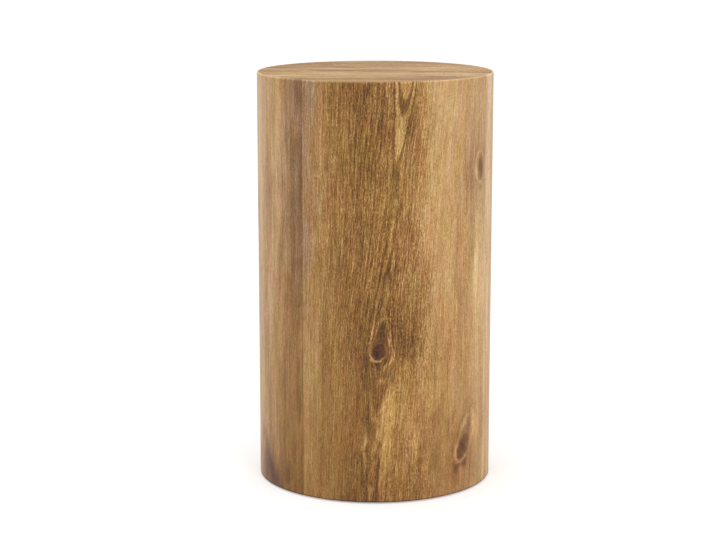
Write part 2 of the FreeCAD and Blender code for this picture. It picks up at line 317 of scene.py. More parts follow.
# The wood-grain print: the plan's slow tone, then grain marks, rings, pores and knots are added in steps
# of screen brightness, the sum is read off as a colour, and the colour is tinted rose or gold
def printMaterial(name, look, paintedEdgeLight=None):
    material, tree, shader = newMaterial(name)
    grain = attribute(tree, "grain", "Vector")
    down, seed = parts(tree, grain)[1:]
    planTone, planRose, planGold = parts(tree, attribute(tree, "shade", "Vector"))
    strengths = {strength: attribute(tree, strength, "Fac") for strength in ("fibre", "streak")}
    marks, markLevels = {}, []
    for layer, (mark, (width, length, detail, level, driver)) in enumerate(look["marks"].items()):
        pattern = noise(tree, grain, (width, length, 1.0), detail, look["markRoughness"], layer)
        marks[mark] = calc(tree, "MULTIPLY", pattern, strengths[driver])
        markLevels.append((marks[mark], level))

    # rings: a saw-toothed line at each whole ring distance, each ring with a strength of its own
    distance, ringShare, tongueShare = parts(tree, attribute(tree, "rings", "Vector"))
    warp = noise(tree, grain, look["ringWarpSize"], layer=20)
    turn = calc(tree, "DIVIDE", distance, look["ringPitch"])
    turn = calc(tree, "MULTIPLY_ADD", warp, look["ringWarp"], turn)
    reach = calc(tree, "MULTIPLY_ADD", warp, look["ringPitch"] * look["ringWarp"], distance)
    inTongue = calc(tree, "MULTIPLY", step(tree, reach, *look["tongueCalm"]), tongueShare)
    ringsHere = calc(tree, "MULTIPLY_ADD", inTongue, -look["calmShare"], 1.0)
    ringsHere = calc(tree, "MULTIPLY", ringsHere, ringShare)
    count = calc(tree, "FLOOR", turn)
    chance = addNode(tree, "ShaderNodeTexWhiteNoise", {"W": count}, noise_dimensions="1D")
    ringStrength = calc(tree, "MULTIPLY_ADD", chance, look["ringSpread"], look["ringLeast"])
    ring = levels(tree, calc(tree, "FRACT", turn), 1.0, look["ringProfile"])
    ring = calc(tree, "MULTIPLY", calc(tree, "SUBTRACT", ring, look["ringRest"]), ringStrength)
    ring = calc(tree, "MULTIPLY", ring, ringsHere)
    ringPlace = addNode(tree, "ShaderNodeCombineXYZ", {0: distance, 1: down, 2: seed})
    line = noise(tree, ringPlace, look["lineSize"], 1.0, look["lineRoughness"], layer=21)
    line = calc(tree, "MULTIPLY", line, ringsHere)
    tongue = levels(tree, reach, look["tongueReach"], look["tongues"])
    tongue = calc(tree, "MULTIPLY", calc(tree, "SUBTRACT", tongue, look["tongueRest"]), tongueShare)
    pore = step(tree, noise(tree, grain, look["poreSize"], 1.0, layer=22), *look["poreCut"])

    # knots: a bowl of dark core, pale rim and dark ring, the rim mainly on the lower left, under a
    # drawn-out hood with a pale outline; each is a curve over root of (sideways squared + height squared)
    knotSide, knotDown, knotStrength = parts(tree, attribute(tree, "knot", "Vector"))
    hoodDown = attribute(tree, "hood", "Fac")
    wobble = noise(tree, grain, look["wobbleSize"], layer=23)
    wobble = calc(tree, "MULTIPLY_ADD", wobble, look["knotWobble"], 1.0)
    sideSquare = calc(tree, "MULTIPLY", knotSide, knotSide)
    away = calc(tree, "SQRT", calc(tree, "MULTIPLY_ADD", knotDown, knotDown, sideSquare))
    away = calc(tree, "MULTIPLY", away, wobble)
    hoodAway = calc(tree, "SQRT", calc(tree, "MULTIPLY_ADD", hoodDown, hoodDown, sideSquare))
    hoodAway = calc(tree, "MULTIPLY", hoodAway, wobble)
    bowl = levels(tree, away, look["knotReach"], look["bowl"])
    bowl = calc(tree, "SUBTRACT", bowl, look["knotRest"])
    hood = levels(tree, hoodAway, look["knotReach"], look["hood"])
    hood = calc(tree, "SUBTRACT", hood, look["knotRest"])
    lowerLeft = calc(tree, "MULTIPLY_ADD", knotSide, look["rimLean"], knotDown)
    lowerLeft = step(tree, lowerLeft, *look["rimSide"])
    rim = calc(tree, "MULTIPLY", calc(tree, "MAXIMUM", bowl, 0.0), lowerLeft)
    bowl = calc(tree, "ADD", calc(tree, "MINIMUM", bowl, 0.0), rim)
    belowTop = step(tree, knotDown, *look["bowlTop"])
    inBowl = calc(tree, "MAXIMUM", belowTop, step(tree, away, *look["bowlEdge"]))
    profile = addNode(tree, "ShaderNodeMix", {0: inBowl, 2: hood, 3: bowl})  # from hood to bowl
    knotTone = calc(tree, "MULTIPLY", profile, knotStrength)
    core = calc(tree, "MULTIPLY", step(tree, away, *look["coreEdge"]), knotStrength)
    calm = calc(tree, "MULTIPLY_ADD", step(tree, away, *look["calmEdge"]), -look["knotCalm"], 1.0)

    figure = weighted(tree, 0.0, [*markLevels, (ring, look["ringTone"]), (line, look["lineTone"])])
    tone = weighted(tree, calc(tree, "MULTIPLY_ADD", figure, calm, planTone), [
        (tongue, look["tongueTone"]),
        (pore, look["poreTone"]),
        (knotTone, look["knotTone"]),
    ])
    # painted light: a painted highlight makes the eased top edge paler in places, and painted shade
    # darkens a thin band along the bottom edge
    if paintedEdgeLight:
        uneven = calc(tree, "MULTIPLY_ADD", marks["thread"], paintedEdgeLight["edgePatch"], 1.0)
        edge = calc(tree, "MULTIPLY", step(tree, down, *paintedEdgeLight["edge"]), uneven)
        # painted shade along the bottom edge
        paintedBottomShade = step(tree, down, *paintedEdgeLight["rim"])
        tone = weighted(tree, tone, [(edge, paintedEdgeLight["edgeTone"]), (paintedBottomShade, paintedEdgeLight["paintedShadeTone"])])
    stops = [(level / fullTone, paint(*shade)) for level, shade in look["palette"]]
    colour = ramp(tree, calc(tree, "DIVIDE", tone, fullTone, clamp=True), stops)
    rosePatch = noise(tree, grain, look["rosePatch"], layer=24)
    goldPatch = noise(tree, grain, look["goldPatch"], layer=25)
    rose = weighted(tree, planRose, [(rosePatch, look["roseAmount"]), (core, look["coreRose"])])
    gold = weighted(tree, planGold, [(goldPatch, look["goldAmount"]), (core, look["coreGold"])])
    colour = tinted(tree, tinted(tree, colour, rose, look["roseTint"]), gold, look["goldTint"])
    tree.links.new(colour, shader.inputs["Base Color"])

    rough = weighted(tree, look["roughness"], [
        (marks["streak"], look["streakRough"]),
        (pore, look["poreRough"]),
        (marks["fibre"], look["fibreRough"]),
    ])
    tree.links.new(rough, shader.inputs["Roughness"])
    shader.inputs["Specular IOR Level"].default_value = look["specular"]
    height = weighted(tree, 0.0, [
        (pore, look["poreHeight"]),
        (ring, look["ringHeight"]),
        (marks["fibre"], look["fibreHeight"]),
        (core, look["coreHeight"]),
    ])
    bump(tree, shader, height, look["bumpStrength"], look["bumpDistance"])
    return material


creaseAngle = math.radians(40.0)  # faces that meet more sharply than this keep their edge


# Puts a new mesh into the scene as a piece of the object
def addPiece(name, points, faces, material, node):
    mesh = bpy.data.meshes.new(name)
    mesh.from_pydata(points.tolist(), [], faces)
    mesh.polygons.foreach_set("use_smooth", np.ones(len(mesh.polygons), bool))
    mesh.set_sharp_from_angle(angle=creaseAngle)
    mesh.materials.append(material)
    piece = bpy.data.objects.new(name, mesh)
    bpy.context.collection.objects.link(piece)
    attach(piece, "root")
    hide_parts(node)
    print(name + ":", len(mesh.polygons), "faces")
    return mesh


# Side laminate: across is measured right from the middle of the front, along is down from the top
sideLow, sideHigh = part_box("side_laminate")
side = {
    "radius": (sideHigh.x - sideLow.x) / 2,
    "low": sideLow.z,
    "top": sideHigh.z,
    "thickness": 0.8 * mm,
    "edgeRadius": 2.0 * mm,
    "seamGap": 0.3 * mm,
    "rimBand": 1.2 * mm,
    "rows": 214,
    "lipRows": 6,
    "columnPitches": (3.2, 2.4, 1.6, 3.0, 3.2),
    # painted light on the print: a painted highlight on the eased top edge, and painted shade in a thin
    # band along the bottom edge
    "paintedEdgeLight": {
        "edge": (2.4, 0.2), "edgeTone": 24.0, "edgePatch": 2.0,
        # painted shade: the band along the bottom edge that is made darker
        "rim": (521.2, 522.6), "paintedShadeTone": -60.0,
    },
}
# left border of the golden patch under the main knot: points along and across
goldenEdge = (
    (378, 14), (384, 13), (395, 9), (410, 9), (426, 7), (432, 1), (441, 2), (449, 10), (457, 4),
    (472, 7), (495, 5), (519, 6),
)
sidePlan = {
    "seed": 7,
    "seedSpread": 400.0,
    "joints": (-290.0, -95.0, 174.0, 330.0),
    "jointEase": 0.05,
    "reach": 6.0,
    "knotBend": 0.7,
    # brightness across, one plank after the other, and what is added to it along
    "tone": (
        (-471, 128), (-430, 140), (-380, 122), (-335, 134), (-290, 124),
        (-290, 150), (-250, 138), (-194, 171), (-171, 147), (-142, 152), (-131, 134), (-116, 120),
        (-104, 113), (-95, 112),
        (-95, 141), (-80, 134), (-52, 119), (-36, 112), (-19, 101), (0, 107), (24, 114), (55, 129),
        (72, 160), (95, 162), (114, 156), (133, 154), (152, 161), (174, 157),
        (174, 174), (194, 178), (228, 152), (280, 138), (330, 148),
        (330, 124), (400, 136), (471, 128),
    ),
    "toneAlong": ((0, 0), (300, 0), (440, -4), (523, -12)),
    # strengths of the rings, the fibres and the streaks across, and of the first two along
    "rings": (
        (-471, 0.8), (-290, 0.6), (-200, 0.3), (-95, 0.15), (-71, 0.3), (-43, 0.9), (43, 1.0), (62, 0.5),
        (85, 0.15), (165, 0.2), (300, 0.7), (471, 0.8),
    ),
    "fibre": (
        (-471, 0.7), (-190, 0.45), (-104, 0.45), (-57, 0.8), (0, 1.1), (57, 1.0), (85, 0.62), (174, 0.65),
        (471, 0.7),
    ),
    "streak": (
        (-471, 1.1), (-95, 1.15), (-95, 0.75), (-57, 0.8), (-19, 0.6), (38, 0.6), (76, 0.75), (174, 0.85),
        (174, 1.2), (471, 1.1),
    ),
    "ringsAlong": ((0, 1.0), (280, 0.9), (340, 0.6), (400, 0.5), (523, 0.6)),
    "fibreAlong": ((0, 1.0), (340, 1.0), (400, 0.78), (523, 0.82)),
    # hearts of planks: the plank's borders, and the heart's place, its depth and its tongues along
    "hearts": (
        {
            "plank": (-95.0, 174.0), "width": 80.0, "reach": 8.0, "lean": 0.12, "rest": 23.7,
            "line": (
                (-5, 40), (21, 38), (60, 33), (95, 28), (140, 27), (200, 22), (280, 12), (334, 8),
                (420, 4), (530, -3),
            ),
            "depth": (
                (-5, 4), (21, 8), (41, 11.1), (80, 13.1), (96, 13.9), (130, 14.4), (200, 11), (280, 7),
                (330, 4), (400, 10), (530, 14),
            ),
            "tongues": ((0, 1.0), (110, 1.0), (130, 0.0), (360, 0.0), (420, 0.5), (523, 0.6)),
        },
        {
            "plank": (330.0, 471.2), "width": 60.0, "reach": 20.0, "lean": -0.1, "rest": 396.0,
            "line": ((0, 396), (200, 404), (523, 392)),
            "depth": ((0, 16), (140, 5), (260, 14), (380, 18), (523, 6)),
            "tongues": ((0, 0.5), (523, 0.5)),
        },
    ),
    # place across and along, radius, stretch, lean, stretch of the hood, and strength
    "knots": (
        (5.0, 330.0, 10.0, 1.25, -0.13, 2.9, 1.0),
        (158.5, 114.0, 9.0, 1.75, 0.0, 1.2, 0.4),
        (127.0, 463.0, 12.5, 1.5, -0.36, 1.7, 0.75),
        (47.4, 190.0, 3.2, 2.2, 0.0, 2.0, 0.3),
        (12.9, 19.0, 1.5, 1.2, 0.0, 1.0, 0.6),
        (22.4, 38.6, 1.8, 1.3, 0.0, 1.0, 0.6),
        (41.7, 38.0, 1.5, 1.2, 0.0, 1.0, 0.5),
        (17.1, 64.0, 2.0, 2.5, 0.0, 1.0, 0.5),
        (-220.0, 168.0, 8.0, 1.3, 0.1, 1.6, 0.85),
        (-382.0, 402.0, 9.0, 1.2, 0.0, 2.4, 0.9),
        (252.0, 322.0, 7.0, 1.6, -0.15, 1.4, 0.85),
        (404.0, 150.0, 9.0, 1.2, 0.0, 2.6, 0.9),
    ),
    # waves in the outlines of patches: shift and stretch in half sizes, lengths across and along, phase
    "waves": ((0.22, 0.08, 9.0, 26.0, 0.4), (0.14, 0.12, -6.0, 15.0, 2.1), (0.10, 0.10, 4.0, 8.0, 4.4)),
    # place across and along, half width, half height, then brightness, rose and gold
    "patches": (
        # left plank: purple-grey band by the joint, pale stripe beside it, dark foot
        (-101, 105, 19, 165, -9, 0.0, -2.7),
        (-105, 76, 7, 26, -13, 0.0, 0.0),
        (-94, 42, 10, 56, -19, 0.0, 0.0),
        (-90, 0, 14, 34, 0, 0.0, -1.5),
        (-128, 160, 24, 120, 0, 0.0, -0.7),
        (-133, 95, 8, 70, 10, 0.0, 0.0),
        (-104, 345, 9, 50, 14, 0.0, 0.0),
        (-175, 210, 30, 290, 0, 0.25, -0.4),
        (-118, 60, 30, 75, 18, 0.0, 0.0),
        (-165, 60, 36, 75, 14, 0.0, 0.0),
        (-152, 450, 42, 110, -6, 0.0, 0.0),
        (-167, 510, 37, 28, -58, 0.6, -0.8),
        (-188, 503, 14, 30, -30, 0.1, -0.1),
        (-193, 70, 12, 100, 20, 0.0, 0.0),
        # both sides of the left joint
        (-114, 465, 10, 35, -10, 0.0, 0.0),
        (-90, 410, 12, 105, 8, 0.0, 0.0),
        (-78, 332, 8, 46, 12, 0.0, 0.0),
        (-87, 280, 26, 280, 0, 0.0, -0.15),
        (-57, 44, 10, 22, 12, 0.0, 0.0),
        (-57, 338, 10, 56, -9, 0.0, 0.1),
        (-28, 523, 26, 14, -14, 0.0, 0.0),
        # top of the heart: golden, with dark sides, pale tongues, rose and green spots
        (0, 95, 44, 100, 0, 0.0, 0.2),
        (-14, 5, 32, 60, -17, 0.1, 0.0),
        (43, 46, 11, 30, -18, 0.1, 0.0),
        (38, 9, 5, 10, 14, 0.0, 0.5),
        (38, 30, 5, 9, -14, 0.1, 0.0),
        (29, 68, 4.5, 24, 20, 0.0, 0.1),
        (25, 110, 6, 9, -16, -0.6, 0.2),
        (38, 112, 9, 18, 10, 0.0, 0.3),
        (19, 146, 8, 16, 12, 0.0, 0.0),
        (-8, 46, 7, 10, -6, 1.2, 0.0),
        (12, 56, 6, 10, -8, 1.0, 0.0),
        (-11, 90, 10, 20, -4, -0.8, 0.4),
        # middle of the heart: darker and more golden
        (19, 250, 14, 76, -11, 0.0, 0.3),
        (10, 240, 60, 300, 0, 0.0, 0.3),
        (41, 179, 7, 14, -20, 0.15, 0.0),
        (46, 190, 3, 12, -22, 0.3, 0.0),
        (59, 238, 13, 44, -13, 0.0, 0.0),
        # main knot: dark ground, core, spots on its rim and in its hood
        (11, 322, 34, 48, -22, 0.1, -0.2),
        (49, 308, 18, 30, -15, 0.1, -0.2),
        (4, 331, 5, 9, -16, 0.2, 0.0),
        (38, 318, 8, 7, -26, -0.3, 0.2),
        (40, 300, 12, 20, 0, 0.6, 0.0),
        (17, 314, 4, 4, 8, 1.4, 0.0),
        (1, 306, 3.5, 12, 2, 1.6, -0.2),
        (13, 302, 9, 15, -6, -0.9, 0.4),
        (28, 350, 12, 12, 16, 0.0, 0.4),
        (57, 350, 8, 14, 10, 0.1, 0.1),
        (-13, 374, 5, 20, -22, -0.2, 0.2),
        (10, 368, 5, 3, 26, 0.0, 0.0),
        # golden patch under the knot, with small pale curls and dark hollows along its left border
        (40, 415, 15, 66, 24, 0.0, 0.2),
        (21, 428, 12, 58, 18, 0.0, 0.2),
        (14, 438, 9, 44, 20, 0.0, 0.1),
        (18, 388, 9, 24, 18, 0.0, 0.3),
        (4, 417, 3.5, 6, 24, 0.0, 0.0),
        (-4, 424, 6, 12, -14, 0.0, 0.0),
        (-10, 443, 3, 8, 18, 0.0, 0.0),
        (1, 455, 4, 4, 24, 0.0, 0.0),
        (-5, 465, 7, 14, -20, -0.2, 0.0),
        (-2, 484, 5, 8, 4, 1.2, 0.0),
        (-8, 498, 6, 8, -22, 0.2, -0.2),
        (-2, 506, 5, 5, 18, 0.0, 0.0),
        # pale right side of the middle plank: stripes, dark places, dark foot
        (114, 30, 26, 46, 13, 0.0, 0.0),
        (142, 60, 40, 80, 0, 0.0, -0.35),
        (64, 165, 15, 46, 14, 0.0, 0.1),
        (95, 112, 10, 50, 11, 0.0, 0.0),
        (76, 214, 8, 16, -10, 0.0, 0.0),
        (123, 215, 12, 80, -9, 0.1, 0.0),
        (152, 240, 8, 56, 36, 0.0, 0.2),
        (169, 240, 13, 70, 12, 0.0, 0.1),
        (93, 325, 28, 56, -14, 0.1, 0.0),
        (123, 330, 70, 220, 0, 0.35, 0.1),
        (76, 418, 10, 18, -26, 0.1, 0.0),
        (104, 530, 62, 120, -26, 0.0, -0.2),
        (100, 523, 48, 16, 10, 0.0, 0.0),
        # upper right knot: grey core, pale spots beside it, darker ground
        (160, 113, 6.5, 14, -68, -0.3, -0.4),
        (147, 115, 3.5, 9, 28, 0.2, 0.2),
        (172, 112, 4, 12, 14, 0.2, 0.2),
        (142, 122, 16, 46, -14, 0.3, -0.7),
        (163, 88, 8, 30, -12, 0.0, 0.0),
        # leaning knot at the lower right: grey core, dark places under it, pale ones beside it
        (126, 463, 8, 16, -32, -0.8, -0.6),
        (108, 453, 27, 38, -19, 0.2, -0.1),
        (121, 484, 9, 6, -22, 0.4, -0.2),
        (114, 489, 8, 12, -20, 0.6, -0.6),
        (129, 487, 5, 6, -24, 0.8, 0.0),
        (125, 502, 4, 14, 18, 0.0, 0.5),
        (110, 455, 4, 22, 18, 0.2, 0.1),
        (154, 446, 8, 22, 24, 0.0, 0.6),
        # knots at the rear: dark ground and core
        (-220, 166, 15, 26, -15, 0.2, 0.0),
        (-220, 168, 6, 8, -16, 0.3, 0.0),
        (-382, 396, 18, 34, -15, 0.2, 0.0),
        (-382, 402, 6, 8, -18, 0.3, 0.0),
        (252, 320, 14, 24, -15, 0.2, 0.0),
        (252, 322, 5, 8, -16, 0.3, 0.0),
        (404, 144, 18, 34, -15, 0.2, 0.0),
        (404, 150, 6, 8, -18, 0.3, 0.0),
        # right plank: pale edge, rose stripe
        (191, 150, 9, 140, 20, 0.2, -0.4),
        (182, 170, 12, 100, -8, -0.2, 0.1),
        (176, 435, 12, 40, -10, 0.0, 0.0),
        (197, 420, 8, 40, 0, 1.2, -0.3),
    ),
    "strokeFade": 8.0,
    # points along and across, half widths left and right, then brightness, rose and gold
    "strokes": (
        # left plank: a dark stripe that leans away from the joint, and a dark curve across the foot
        (((228, -108), (255, -115), (335, -122), (395, -128)), 8, 8, -12, 0.1, -0.2),
        (((462, -182), (483, -171), (498, -162), (514, -152)), 8, 8, -26, 0.5, -0.8),
        # lines that lean over the main knot
        (((160, 27), (203, 21), (240, 14), (280, 6)), 1.6, 1.6, -16, 0.0, 0.0),
        (((180, 28), (215, 23), (250, 16), (290, 8)), 1.4, 1.4, 12, 0.0, 0.1),
        (((150, 25), (203, 17), (234, 11), (271, 3), (314, -5)), 1.5, 1.5, 22, 0.0, 0.2),
        (((150, 21), (203, 13), (234, 7), (271, -1), (310, -9)), 1.6, 1.6, -16, 0.0, 0.0),
        (((170, 18), (203, 10), (234, 4), (271, -4), (300, -11)), 1.4, 1.4, 14, 0.0, 0.1),
        (((180, 13), (215, 5), (250, -3), (300, -15)), 1.6, 1.6, -14, 0.0, 0.0),
        # main knot: a pale arc on its right
        (((319, 18), (328, 22.5), (337, 23), (344, 20), (350, 12)), 2.4, 2, 44, 0.2, -0.2),
        # golden patch: bright and dark side of its border, curls, a dark line through it
        (goldenEdge, 0.3, 18, 24, 0.0, 0.2),
        (goldenEdge, 5, 0.3, -22, 0.1, -0.2),
        (((406, 7), (413, 0), (421, 3)), 2.2, 2.2, 34, 0.0, 0.1),
        (((446, -11), (455, -16), (468, -11)), 2.2, 2.2, 38, 0.0, 0.1),
        (((500, -9), (508, -5), (518, -7)), 2.2, 2.2, 36, 0.0, 0.0),
        (((412, -8), (430, -6), (446, -4)), 2.4, 2.4, -18, 0.0, 0.0),
        (((462, -16), (498, -15)), 2.4, 2.4, -26, 0.0, 0.0),
        (((452, 26), (478, 20)), 2.4, 2.4, -14, 0.1, 0.0),
        # leaning knot at the lower right: pale left side, dark drop above it
        (((438, 125), (466, 112), (476, 108)), 2.2, 2.6, 20, 0.0, 0.3),
        (((428, 140), (452, 135)), 4, 4, -28, 0.5, -0.2),
    ),
}


# A closed profile carried round a circle that stops short at the rear seam. The profile runs up the
# outer face, over the eased edge by a quarter circle, back under it and down the inner face.
# Round the circle, x is the radius times the sine of the angle, and y minus the radius times its cosine.
def sideLaminate():
    lipZ = side["top"] - side["edgeRadius"]
    lipRadius = side["radius"] - side["edgeRadius"]
    innerEdge = side["edgeRadius"] - side["thickness"]
    quarter = np.linspace(0.0, math.pi / 2, side["lipRows"] + 1)
    face = np.append(side["low"], np.linspace(side["low"] + side["rimBand"], lipZ, side["rows"]))[:-1]
    radii = np.concatenate([
        np.full(len(face), side["radius"]),
        lipRadius + side["edgeRadius"] * np.cos(quarter),
        lipRadius + innerEdge * np.cos(quarter[::-1]),
        [side["radius"] - side["thickness"]],
    ])
    heights = np.concatenate([
        face,
        lipZ + side["edgeRadius"] * np.sin(quarter),
        lipZ + innerEdge * np.sin(quarter[::-1]),
        [side["low"]],
    ])
    depths = (side["top"] - heights) / mm
    overLip = slice(len(face), len(face) + len(quarter))
    depths[overLip] = (1.0 - quarter) * side["edgeRadius"] / mm

    halfway = (math.pi * side["radius"] - side["seamGap"] / 2) / mm
    ends = np.array([-halfway, *sidePlan["joints"], halfway])
    counts = np.round(np.diff(ends) / side["columnPitches"]).astype(int)
    spans = [
        np.linspace(start, stop, count, endpoint=False)
        for start, stop, count in zip(ends, ends[1:], counts)
    ]
    places = np.append(np.concatenate(spans), halfway)
    angles = places * mm / side["radius"]
    columns, ring = len(places), len(heights)
    points = np.stack([
        np.outer(np.sin(angles), radii),
        np.outer(-np.cos(angles), radii),
        np.broadcast_to(heights, (columns, ring)),
    ], axis=-1).reshape(-1, 3)

    corner = np.arange((columns - 1) * ring).reshape(columns - 1, ring)
    beside = np.roll(corner, -1, axis=1)
    quads = np.stack([corner, corner + ring, beside + ring, beside], axis=-1).reshape(-1, 4)
    startCap = np.arange(ring)
    endCap = startCap[::-1] + (columns - 1) * ring
    faces = quads.tolist() + [startCap.tolist(), endCap.tolist()]
    material = printMaterial("sidePrint", printLook, side["paintedEdgeLight"])
    mesh = addPiece("sideLaminate", points, faces, material, "side_laminate")
    layPrint(mesh, np.repeat(places, ring), np.tile(depths, columns), sidePlan)


# Top laminate: across is measured back from the middle, along is to the right
topLow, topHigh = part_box("top_laminate")
top = {
    "radius": (topHigh.x - topLow.x) / 2,
    "low": topLow.z,
    "high": topHigh.z,
    "steps": 120,
    "sheen": {"roughness": 0.55, "specular": 0.12},
}
topPlan = {
    "seed": 12,
    "seedSpread": 400.0,
    "joints": (),
    "jointEase": 0.05,
    "reach": 6.0,
    "knotBend": 0.7,
    "tone": (
        (-148, 138), (-122, 130), (-105, 121), (-85, 130), (-66, 155), (-46, 149), (-24, 133), (-4, 115),
        (8, 134), (22, 149), (46, 128), (76, 136), (106, 124), (148, 128),
    ),
    "toneAlong": ((-148, 0), (148, 0)),
    "rings": ((-148, 0.4), (-60, 0.6), (0, 0.8), (60, 0.6), (148, 0.4)),
    "fibre": ((-148, 0.8), (148, 0.8)),
    "streak": ((-148, 1.8), (148, 1.8)),
    "ringsAlong": ((-148, 1.0), (148, 1.0)),
    "fibreAlong": ((-148, 1.0), (148, 1.0)),
    "hearts": (
        {
            "plank": (-150.0, 150.0), "width": 70.0, "reach": 15.0, "lean": 0.1, "rest": 8.0,
            "line": ((-150, 12), (-40, 4), (60, 14), (150, 8)),
            "depth": ((-150, 16), (-60, 8), (30, 14), (150, 4)),
            "tongues": ((-150, 0.5), (150, 0.5)),
        },
    ),
    "knots": ((84.0, -62.0, 6.0, 1.6, 0.0, 1.8, 0.8), (-70.0, 96.0, 5.0, 1.5, 0.0, 1.6, 0.6)),
    "waves": ((0.2, 0.1, 9.0, 30.0, 0.4), (0.12, 0.12, -5.0, 14.0, 2.1)),
    "patches": (
        (30, -110, 18, 34, -26, 0.6, -0.5),
        (0, 134, 14, 22, 6, 1.2, 0.6),
        (-92, 70, 18, 34, -12, 0.6, -0.4),
        (-106, -45, 12, 22, -10, -0.4, 0.5),
        (-58, -110, 18, 26, 6, -0.3, 0.6),
        (34, 76, 30, 40, 10, 0.0, 0.2),
        # the whole top made paler and less golden: partly the print's own tone, partly painted sheen in
        # place of the gloss that was taken off the top
        (0, 0, 400, 400, 11, -0.15, -0.6),
    ),
    "strokeFade": 8.0,
    "strokes": (),
}


# A disc as a grid: x = u root(1 - v squared / 2), y = v root(1 - u squared / 2) turns a square into a
# disc. A wall round its border and one face below close it.
def topLaminate():
    count = top["steps"] + 1
    u, v = np.meshgrid(np.linspace(-1.0, 1.0, count), np.linspace(-1.0, 1.0, count))
    x = top["radius"] * u * np.sqrt(1.0 - v ** 2 / 2)
    y = top["radius"] * v * np.sqrt(1.0 - u ** 2 / 2)
    index = np.arange(count * count).reshape(count, count)
    border = np.concatenate([index[0, :-1], index[:-1, -1], index[-1, :0:-1], index[:0:-1, 0]])
    upper = np.stack([x.ravel(), y.ravel(), np.full(x.size, top["high"])], axis=1)
    lower = upper[border] - (0.0, 0.0, top["high"] - top["low"])
    points = np.concatenate([upper, lower])

    quads = np.stack([index[:-1, :-1], index[:-1, 1:], index[1:, 1:], index[1:, :-1]], axis=-1)
    quads = quads.reshape(-1, 4)
    under = np.arange(len(border)) + x.size
    wall = np.stack([under, np.roll(under, -1), np.roll(border, -1), border], axis=-1)
    faces = quads.tolist() + wall.tolist() + [under[::-1].tolist()]
    material = printMaterial("topPrint", {**printLook, **top["sheen"]})
    mesh = addPiece("topLaminate", points, faces, material, "top_laminate")
    layPrint(mesh, points[:, 1] / mm, points[:, 0] / mm, topPlan)


sideLaminate()
topLaminate()


# Finishes of the pieces under the print; their patterns are in metres, from Object coordinates
def objectPlace(tree):
    return addNode(tree, "ShaderNodeTexCoord", {}, output="Object")


# Ends a finish: its colour by tone, its roughness, and a bump from its height
def surface(tree, shader, look, tone, rough, height):
    colour = ramp(tree, tone, [(at, paint(*shade)) for at, shade in look["colours"]])
    tree.links.new(colour, shader.inputs["Base Color"])
    tree.links.new(rough, shader.inputs["Roughness"])
    bump(tree, shader, height, look["bumpStrength"], look["bumpDistance"])


fibreboardLook = {
    "colours": ((0.0, (128, 96, 64)), (0.5, (168, 133, 94)), (1.0, (196, 164, 124))),
    "cloud": (40 * mm, 40 * mm, 40 * mm), "cloudTone": 0.7,
    "chip": (1.6 * mm, 1.6 * mm, 1.6 * mm), "chipTone": 0.9, "chipRough": 0.2,
    "dust": (0.5 * mm, 0.5 * mm, 0.5 * mm), "dustTone": 0.5, "dustHeight": 0.5,
    "tone": 0.5, "roughness": 0.78, "bumpStrength": 0.35, "bumpDistance": 0.1 * mm,
}


# Raw fibreboard: short felted fibres, dust and faint clouds
def fibreboard(look):
    material, tree, shader = newMaterial("rawFibreboard")
    where = objectPlace(tree)
    cloud = noise(tree, where, look["cloud"], detail=3.0)
    chip = noise(tree, where, look["chip"], detail=3.0, roughness=0.6, layer=1)
    dust = noise(tree, where, look["dust"], detail=1.0, layer=2)
    tone = weighted(tree, look["tone"], [
        (cloud, look["cloudTone"]), (chip, look["chipTone"]), (dust, look["dustTone"]),
    ])
    rough = weighted(tree, look["roughness"], [(chip, look["chipRough"])])
    height = weighted(tree, chip, [(dust, look["dustHeight"])])
    surface(tree, shader, look, tone, rough, height)
    return material


# What the solid woods share, then each wood's own values
woodLook = {
    "ringProfile": ((0.0, 0.2), (0.15, 1.0), (0.6, 0.7), (0.9, 0.0), (1.0, 0.2)), "ringHeight": 0.3,
    "broadTone": 0.5, "fibreTone": 0.6, "fibreRough": 0.25, "poreCut": (0.14, 0.24), "poreHeight": -0.6,
    "tone": 0.35, "bumpStrength": 0.3, "bumpDistance": 0.1 * mm,
}
softwoodLook = {
    **woodLook,
    "colours": ((0.0, (150, 106, 62)), (0.5, (212, 176, 122)), (1.0, (236, 208, 160))),
    "broad": (14 * mm, 14 * mm, 160 * mm),
    "fibre": (0.7 * mm, 0.7 * mm, 18 * mm),
    "pore": (0.6 * mm, 0.6 * mm, 5 * mm), "poreTone": -0.12,
    "acrossGrain": (1.0, 1.0, 0.0), "heart": (30 * mm, 22 * mm, 0.0),
    "ringPitch": 3.4 * mm, "ringWarp": 1.2, "ringTone": 0.32, "roughness": 0.62,
}
plywoodLook = {
    **woodLook,
    "colours": ((0.0, (140, 104, 66)), (0.5, (196, 160, 112)), (1.0, (222, 192, 146))),
    "broad": (9 * mm, 9 * mm, 120 * mm),
    "fibre": (0.5 * mm, 0.5 * mm, 9 * mm),
    "pore": (0.5 * mm, 0.5 * mm, 3 * mm), "poreTone": -0.15,
    "acrossGrain": (0.0, 1.0, 0.0), "heart": (0.0, 3 * mm, 0.0),
    "ringPitch": 1.3 * mm, "ringWarp": 0.1, "ringTone": 0.35, "roughness": 0.66,
}
beechLook = {
    **woodLook,
    "colours": ((0.0, (150, 104, 66)), (0.5, (202, 158, 112)), (1.0, (222, 184, 142))),
    "broad": (6 * mm, 6 * mm, 60 * mm),
    "fibre": (0.4 * mm, 0.4 * mm, 6 * mm),
    "pore": (0.5 * mm, 0.5 * mm, 2.2 * mm), "poreTone": -0.25,
    "acrossGrain": (1.0, 1.0, 0.0), "heart": (20 * mm, 5 * mm, 0.0),
    "ringPitch": 2.2 * mm, "ringWarp": 0.8, "ringTone": 0.2, "roughness": 0.58,
}


